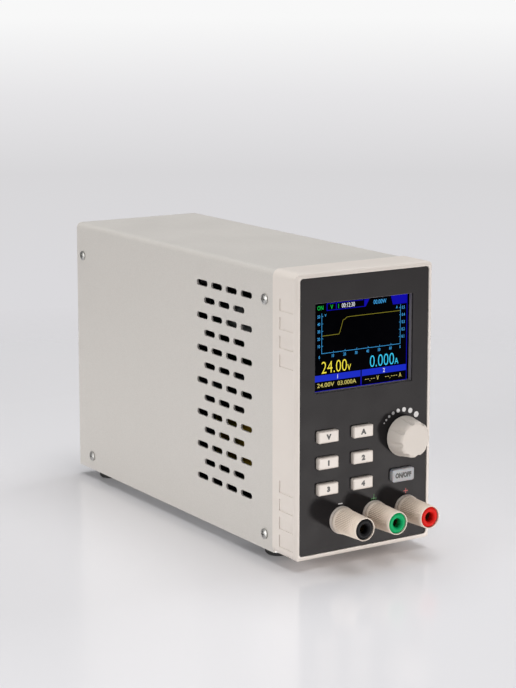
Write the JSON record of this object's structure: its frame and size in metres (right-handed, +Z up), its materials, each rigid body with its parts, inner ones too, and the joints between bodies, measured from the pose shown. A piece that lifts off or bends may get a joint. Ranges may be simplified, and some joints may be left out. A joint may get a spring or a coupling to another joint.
{
  "type": "bench power supply",
  "caption": "Compact bench power supply with a colour screen, push buttons, a rotary knob and screw-down banana posts on a tall narrow front, in a vented steel case.",
  "frame": {"origin": "on the surface under the feet, below the middle of the whole unit", "axes": "+X to the right seen from the front, +Y from the front to the rear, +Z up"},
  "size_m": [0.0834, 0.2486, 0.147],
  "materials": {
    "cover_paint": "fine-textured powder coat",
    "bezel_plastic": "moulded ABS, satin",
    "overlay_film": "satin printed polycarbonate",
    "screen_glass": "dark polished display face",
    "sheet_steel": "zinc plated sheet",
    "bright_steel": "nickel plated",
    "circuit_board": "solder mask",
    "key_plastic": "moulded ABS, satin",
    "output_key_plastic": "translucent",
    "knob_plastic": "moulded ABS, satin",
    "post_plastic": "moulded nylon",
    "collar_plastic": "moulded nylon",
    "insert_black": "moulded",
    "insert_green": "moulded",
    "insert_red": "moulded",
    "plated_brass": "turned",
    "black_plastic": "moulded",
    "fan_plastic": "glass filled",
    "foot_rubber": "moulded",
    "pin_metal": "plated",
    "ferrite": "sintered",
    "winding_tape": "polyester tape",
    "capacitor_sleeve": "shrink sleeve",
    "heatsink_alloy": "extruded",
    "transistor_epoxy": "moulded epoxy",
    "choke_wire": "enamelled copper",
    "output_lead": "PVC insulation",
    "mains_lead": "PVC insulation",
    "ribbon": "PVC ribbon"
  },
  "bodies": {
    "case": {"chassis": "sheet_steel", "cover": "cover_paint", "bezel": "bezel_plastic", "front_bracket": "sheet_steel", "panel_overlay": "overlay_film", "display_glass": "screen_glass", "display_frame": "sheet_steel", "control_board": "circuit_board", "tact_switches": "black_plastic", "encoder_body": "sheet_steel", "encoder_nut": "bright_steel", "post_hardware": "bright_steel", "fan_frame": "fan_plastic", "finger_guard": "bright_steel", "inlet_housing": "black_plastic", "inlet_pins": "pin_metal", "switch_housing": "black_plastic", "main_board": "circuit_board", "board_bracket": "sheet_steel", "board_standoffs": "plated_brass", "transformer_core": "ferrite", "transformer_winding": "winding_tape", "bulk_capacitors": "capacitor_sleeve", "heatsinks": "heatsink_alloy", "power_transistors": "transistor_epoxy", "toroid_choke": "choke_wire", "output_leads": "output_lead", "rear_leads": "mains_lead", "ribbon_cable": "ribbon", "feet": "foot_rubber", "foot_screws": "bright_steel", "cover_screws": "bright_steel", "other_screws": "bright_steel", "post_base_black": "collar_plastic", "post_stud_black": "plated_brass", "post_base_green": "collar_plastic", "post_stud_green": "plated_brass", "post_base_red": "collar_plastic", "post_stud_red": "plated_brass"},
    "button_voltage": {"button_voltage": "key_plastic"},
    "button_current": {"button_current": "key_plastic"},
    "button_one": {"button_one": "key_plastic"},
    "button_two": {"button_two": "key_plastic"},
    "button_three": {"button_three": "key_plastic"},
    "button_four": {"button_four": "key_plastic"},
    "button_output": {"button_output": "output_key_plastic"},
    "encoder_push_rod": {"encoder_push_rod": "key_plastic"},
    "knob": {"encoder_shaft": "bright_steel", "knob": "knob_plastic"},
    "clamp_washer_black": {"clamp_washer_black": "bright_steel"},
    "post_cap_black": {"post_cap_black": "post_plastic", "post_insert_black": "insert_black"},
    "clamp_washer_green": {"clamp_washer_green": "bright_steel"},
    "post_cap_green": {"post_cap_green": "post_plastic", "post_insert_green": "insert_green"},
    "clamp_washer_red": {"clamp_washer_red": "bright_steel"},
    "post_cap_red": {"post_cap_red": "post_plastic", "post_insert_red": "insert_red"},
    "fan_rotor": {"fan_rotor": "fan_plastic"},
    "power_rocker": {"power_rocker": "black_plastic"}
  },
  "joints": [
    {"name": "button_voltage_press", "type": "slide", "parent": "case", "child": "button_voltage", "axis": [0, 1, 0], "range_m": [0, 0.0005], "stiffness_N_per_m": 3000},
    {"name": "button_current_press", "type": "slide", "parent": "case", "child": "button_current", "axis": [0, 1, 0], "range_m": [0, 0.0005], "stiffness_N_per_m": 3000},
    {"name": "button_one_press", "type": "slide", "parent": "case", "child": "button_one", "axis": [0, 1, 0], "range_m": [0, 0.0005], "stiffness_N_per_m": 3000},
    {"name": "button_two_press", "type": "slide", "parent": "case", "child": "button_two", "axis": [0, 1, 0], "range_m": [0, 0.0005], "stiffness_N_per_m": 3000},
    {"name": "button_three_press", "type": "slide", "parent": "case", "child": "button_three", "axis": [0, 1, 0], "range_m": [0, 0.0005], "stiffness_N_per_m": 3000},
    {"name": "button_four_press", "type": "slide", "parent": "case", "child": "button_four", "axis": [0, 1, 0], "range_m": [0, 0.0005], "stiffness_N_per_m": 3000},
    {"name": "button_output_press", "type": "slide", "parent": "case", "child": "button_output", "axis": [0, 1, 0], "range_m": [0, 0.0005], "stiffness_N_per_m": 3000},
    {"name": "knob_press", "type": "slide", "parent": "case", "child": "encoder_push_rod", "axis": [0, 1, 0], "range_m": [0, 0.0005], "stiffness_N_per_m": 4000},
    {"name": "knob_turn", "type": "hinge", "parent": "encoder_push_rod", "child": "knob", "pos_m": [0.0234, -0.1047, 0.0602], "axis": [0, -1, 0], "continuous": true},
    {"name": "post_lift_black", "type": "slide", "parent": "case", "child": "clamp_washer_black", "axis": [0, -1, 0], "range_m": [0, 0.003]},
    {"name": "post_turn_black", "type": "hinge", "parent": "clamp_washer_black", "child": "post_cap_black", "pos_m": [-0.0134, -0.1047, 0.0226], "axis": [0, -1, 0], "range_deg": [0, 1080]},
    {"name": "post_lift_green", "type": "slide", "parent": "case", "child": "clamp_washer_green", "axis": [0, -1, 0], "range_m": [0, 0.003]},
    {"name": "post_turn_green", "type": "hinge", "parent": "clamp_washer_green", "child": "post_cap_green", "pos_m": [0.0063, -0.1047, 0.0226], "axis": [0, -1, 0], "range_deg": [0, 1080]},
    {"name": "post_lift_red", "type": "slide", "parent": "case", "child": "clamp_washer_red", "axis": [0, -1, 0], "range_m": [0, 0.003]},
    {"name": "post_turn_red", "type": "hinge", "parent": "clamp_washer_red", "child": "post_cap_red", "pos_m": [0.026, -0.1047, 0.0226], "axis": [0, -1, 0], "range_deg": [0, 1080]},
    {"name": "fan_spin", "type": "hinge", "parent": "case", "child": "fan_rotor", "pos_m": [0, 0.1053, 0.105], "axis": [0, 1, 0], "continuous": true},
    {"name": "rocker_swing", "type": "hinge", "parent": "case", "child": "power_rocker", "pos_m": [0.027, 0.1183, 0.035], "axis": [-1, 0, 0], "range_deg": [0, 16]}
  ],
  "couplings": [
    {"joint": "post_lift_black", "follows": "post_turn_black", "m_per_rad": 0.000159},
    {"joint": "post_lift_green", "follows": "post_turn_green", "m_per_rad": 0.000159},
    {"joint": "post_lift_red", "follows": "post_turn_red", "m_per_rad": 0.000159}
  ]
}
